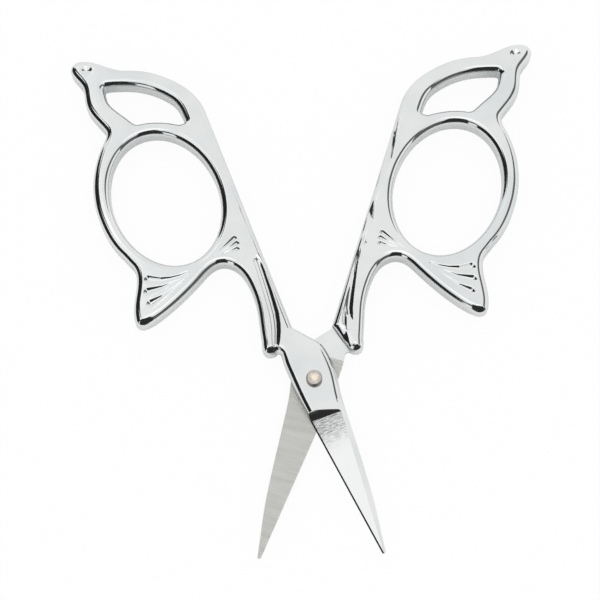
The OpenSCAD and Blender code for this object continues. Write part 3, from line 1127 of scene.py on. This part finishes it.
@dataclass(frozen=True)
class WheelGroundSteel:
    """Outer face of the blade, ground and buffed to a mirror.

    The wheel's cross lines stay near the root, where the buff doesn't reach, and fade out below.
    """

    colour: str = "#e6e7e7"
    roughness: float = 0.1
    unbuffed: float = 0.12
    line_mm: float = 0.22
    line_depth_mm: float = 0.12
    fade_y: tuple[float, float] = (-16.5, -7.5)

    def make(self) -> Material:
        """Build the node material."""
        material, tree, shader = new_material("wheel_ground_steel")
        place = add_node(tree, "UVMap", {"uv_map": "closed"}).outputs["UV"]
        lines = streaks(tree, place, 6, (0.25, 1 / self.line_mm, 1), Detail=2.0, Roughness=0.7)
        height = add_node(tree, "SeparateXYZ", Vector=place).outputs["Y"]
        near_root = remap(tree, height, self.fade_y, (0.0, 1.0), interpolation_type="SMOOTHSTEP")
        normal = relief_normal(tree, maths(tree, "MULTIPLY", lines, near_root), self.line_depth_mm)
        gloss = remap(tree, near_root, (0.0, 1.0), (self.roughness, self.roughness + self.unbuffed))
        set_inputs(tree, shader, Base_Color=linear(self.colour), Roughness=gloss, Normal=normal, Metallic=1.0)
        return material


@dataclass(frozen=True)
class StoneGroundSteel:
    """Inner face of the blade, ground flat on a stone and left matt.

    It is an even pale grey with fine lines across the blade and a few broader, fainter bands.
    """

    colour: str = "#d6d6d2"
    dark: str = "#c9c9c4"
    roughness: float = 0.5
    line_mm: float = 0.16
    slant: float = -8.0

    def make(self) -> Material:
        """Build the node material."""
        material, tree, shader = new_material("stone_ground_steel")
        place = add_node(tree, "UVMap", {"uv_map": "closed"}).outputs["UV"]
        lines = streaks(tree, place, self.slant, (0.12, 1 / self.line_mm, 1), Detail=3.0, Roughness=0.75)
        broad = streaks(tree, place, self.slant, (0.1, 0.8, 1), Detail=1.0)
        mixed = maths(tree, "MULTIPLY_ADD", lines, 0.6, maths(tree, "MULTIPLY", broad, 0.4))
        tint = colour_steps(tree, mixed, [(0.4, self.dark), (0.6, self.colour)])
        normal = relief_normal(tree, lines, 0.02, 0.5)
        set_inputs(tree, shader, Base_Color=tint, Roughness=self.roughness, Normal=normal, Metallic=0.85)
        return material


@dataclass(frozen=True)
class BareRivetSteel:
    """Unplated rivet. A painted highlight gives its end a pale warm spot in the middle, and painted shade makes its
    side dull and dark.
    """

    # Painted highlight: the pale warm colour in the middle of the end.
    colour: str = "#f3e6d2"
    rim: str = "#beb9b1"
    # Painted shade: the dark colour of the side.
    side: str = "#6f6a65"
    roughness: float = 0.28
    end_r: float = 1.5
    top: float = 5.5

    def make(self) -> Material:
        """Build the node material."""
        material, tree, shader = new_material("bare_rivet_steel")
        place = add_node(tree, "TexCoord").outputs["Object"]
        axes = add_node(tree, "SeparateXYZ", Vector=place).outputs
        flat = add_node(tree, "CombineXYZ", X=axes["X"], Y=axes["Y"]).outputs[0]
        radius = add_node(tree, "VectorMath", {"operation": "LENGTH"}, in_0=flat).outputs["Value"]
        patches = clouds_of(tree, place, 0.9, 2.0)
        blur = remap(tree, patches, (0.3, 0.7), (-0.2, 0.2))
        out = maths(tree, "MULTIPLY_ADD", radius, 1 / (self.end_r * MM), blur)
        # Painted highlight: the end runs from pale warm in the middle to grey at its rim.
        end = colour_steps(tree, out, [(0.3, self.colour), (0.62, self.rim), (1.0, self.rim)])
        on_end = remap(tree, axes["Z"], ((self.top - 0.3) * MM, (self.top - 0.15) * MM), (0.0, 1.0))
        # Painted shade: below the end, the side takes its dark colour.
        tint = add_node(tree, "MixRGB", in_0=on_end, in_1=linear(self.side), in_2=end).outputs[0]
        normal = relief_normal(tree, patches, 0.01, 0.5)
        set_inputs(tree, shader, Base_Color=tint, Roughness=self.roughness, Normal=normal, Metallic=0.9)
        return material


# ---------------------------------------------------------------- studio


@dataclass(frozen=True)
class Card:
    """Part of a dome that the metal mirrors, given by its directions as seen from the scissors.

    Attributes:
        name: Name of the object.
        azimuths: First and last direction round, in degrees from +X.
        elevations: Lowest and highest direction, in degrees.
        strength: Brightness, where 0 is black.
        radius: Distance from the scissors, in metres.
    """

    name: str
    azimuths: tuple[float, float]
    elevations: tuple[float, float]
    strength: float
    radius: float = 1.5

    def build(self) -> Object:
        """Cut the card out of a sphere.

        Returns:
            The card, which only reflections see.
        """
        deselect_all()
        bpy.ops.mesh.primitive_uv_sphere_add(segments=180, ring_count=90, radius=self.radius)
        obj = name_new(self.name)

        def outside_card(face: bmesh.types.BMFace) -> bool:
            centre = face.calc_center_median()
            elevation = math.degrees(math.asin(max(-1.0, min(1.0, centre.z / centre.length))))
            azimuth = (math.degrees(math.atan2(centre.y, centre.x)) - self.azimuths[0]) % 360
            low, high = self.elevations
            return not (low < elevation < high and azimuth < self.azimuths[1] - self.azimuths[0])

        select_parts(obj, "FACE", outside_card)
        bpy.ops.mesh.delete(type="FACE")
        bpy.ops.object.mode_set(mode="OBJECT")
        material, tree = bare_material(self.name)
        glow = add_node(tree, "Emission", Strength=self.strength)
        add_node(tree, "OutputMaterial", Surface=glow.outputs[0])
        obj.data.materials.append(material)
        for ray in ("camera", "diffuse", "shadow", "transmission", "volume_scatter"):
            setattr(obj, "visible_" + ray, False)
        return obj


@dataclass
class Studio:
    """White table under even light, with dark and bright cards for the metal to mirror."""

    tilt: float = 20.0
    roll: float = 2.25
    distance_mm: float = 308.8
    aim_mm: tuple[float, float, float] = (-2.1055, 16.674, 2.2)
    half_view: float = 300 / 1600
    glow_seen: float = 0.94
    glow_mirrored: float = 0.22
    cards: tuple[Card, ...] = (
        Card("left_flag", (137, 226), (-2, 50), 0.02),
        Card("left_flag_top", (120, 150), (50, 63), 0.02),
        Card("left_glint", (109, 120), (52, 68), 1.35),
        Card("blade_softbox", (152, 192), (54, 74), 1.12),
        Card("gap_flag", (226, 246), (36, 56), 0.05),
        Card("near_flag", (246, 300), (1, 70), 0.03),
        Card("near_right_flag", (300, 342), (2, 49), 0.12),
        Card("right_strip", (-18, 50), (37, 61), 0.14),
        Card("top_softbox", (0, 360), (77, 90), 1.3),
    )

    def floor(self) -> Object:
        """White table top, which keeps a soft part of the scissors' shadow."""
        deselect_all()
        bpy.ops.mesh.primitive_plane_add(size=6, location=(0, 0, -0.00005))
        obj = name_new("table_top")
        bpy.ops.object.transform_apply(location=True, rotation=False, scale=True)
        material, tree = bare_material("table_white")
        path = add_node(tree, "LightPath").outputs
        rays = maths(tree, "MAXIMUM", path["Is Glossy Ray"], path["Is Transmission Ray"])
        mirrored = maths(tree, "MULTIPLY", rays, self.glow_mirrored)
        share = maths(tree, "MULTIPLY_ADD", path["Is Camera Ray"], self.glow_seen, mirrored)
        paint = add_node(tree, "BsdfDiffuse", Color=linear("#f7f7f7"))
        glow = add_node(tree, "Emission", Color=linear("#ffffff"), Strength=1.0)
        mix = add_node(tree, "MixShader", in_0=share, in_1=paint.outputs[0], in_2=glow.outputs[0])
        add_node(tree, "OutputMaterial", Surface=mix.outputs[0])
        obj.data.materials.append(material)
        return obj

    def light(self) -> None:
        """Even white world."""
        world = bpy.data.worlds.new("studio")
        bpy.context.scene.world = world
        world.use_nodes = True
        tree = world.node_tree
        tree.nodes.clear()
        glow = add_node(tree, "Background", Color=linear("#ffffff"), Strength=1.0)
        add_node(tree, "OutputWorld", Surface=glow.outputs[0])

    def camera(self) -> Object:
        """Camera at the photograph's viewing angle."""
        tilt, roll = math.radians(self.tilt), math.radians(self.roll)
        back = Vector((0, -math.sin(tilt), math.cos(tilt)))
        up = Vector((0, math.cos(tilt), math.sin(tilt)))
        right = Vector((1, 0, 0))
        turned_right = math.cos(roll) * right - math.sin(roll) * up
        turned_up = math.cos(roll) * up + math.sin(roll) * right
        data = bpy.data.cameras.new("camera")
        data.sensor_fit = "HORIZONTAL"
        data.angle = 2 * math.atan(self.half_view)
        data.clip_start = 0.01
        obj = bpy.data.objects.new("camera", data)
        bpy.context.scene.collection.objects.link(obj)
        rotation = Matrix((turned_right, turned_up, back)).transposed().to_4x4()
        place = (Vector(self.aim_mm) + self.distance_mm * back) * MM
        obj.matrix_world = Matrix.Translation(place) @ rotation
        bpy.context.scene.camera = obj
        return obj

    def build(self) -> None:
        """Set up the table, the cards, the light and the camera."""
        self.floor()
        for card in self.cards:
            card.build()
        self.light()
        self.camera()
        bpy.context.scene.view_settings.view_transform = "Standard"


def main() -> None:
    """Build the scissors and the studio, and report each piece."""
    logging.basicConfig(level=logging.INFO, format="%(name)s: %(message)s")
    chrome = ChromePlating().make()
    finishes = {
        Surface.PLATED: chrome,
        Surface.GROUND: WheelGroundSteel().make(),
        Surface.INNER: StoneGroundSteel().make(),
    }
    half = Half()
    closed = half.build()
    half.mark(closed)
    for side, body in ((Side.FRONT, "front_half"), (Side.REAR, "rear_half")):
        piece = half.place(closed, side)
        for surface in Surface:
            piece.data.materials.append(finishes[surface])
        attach(piece, body)
        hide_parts(side.value)
        log.info("%s: %d faces", piece.name, len(piece.data.polygons))
    bpy.data.objects.remove(closed)
    rivet = Rivet().build()
    rivet.data.materials.append(BareRivetSteel().make())
    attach(rivet, "front_half")
    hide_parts("pivot_rivet")
    log.info("%s: %d faces", rivet.name, len(rivet.data.polygons))
    Studio().build()


if __name__ == "__main__":
    main()
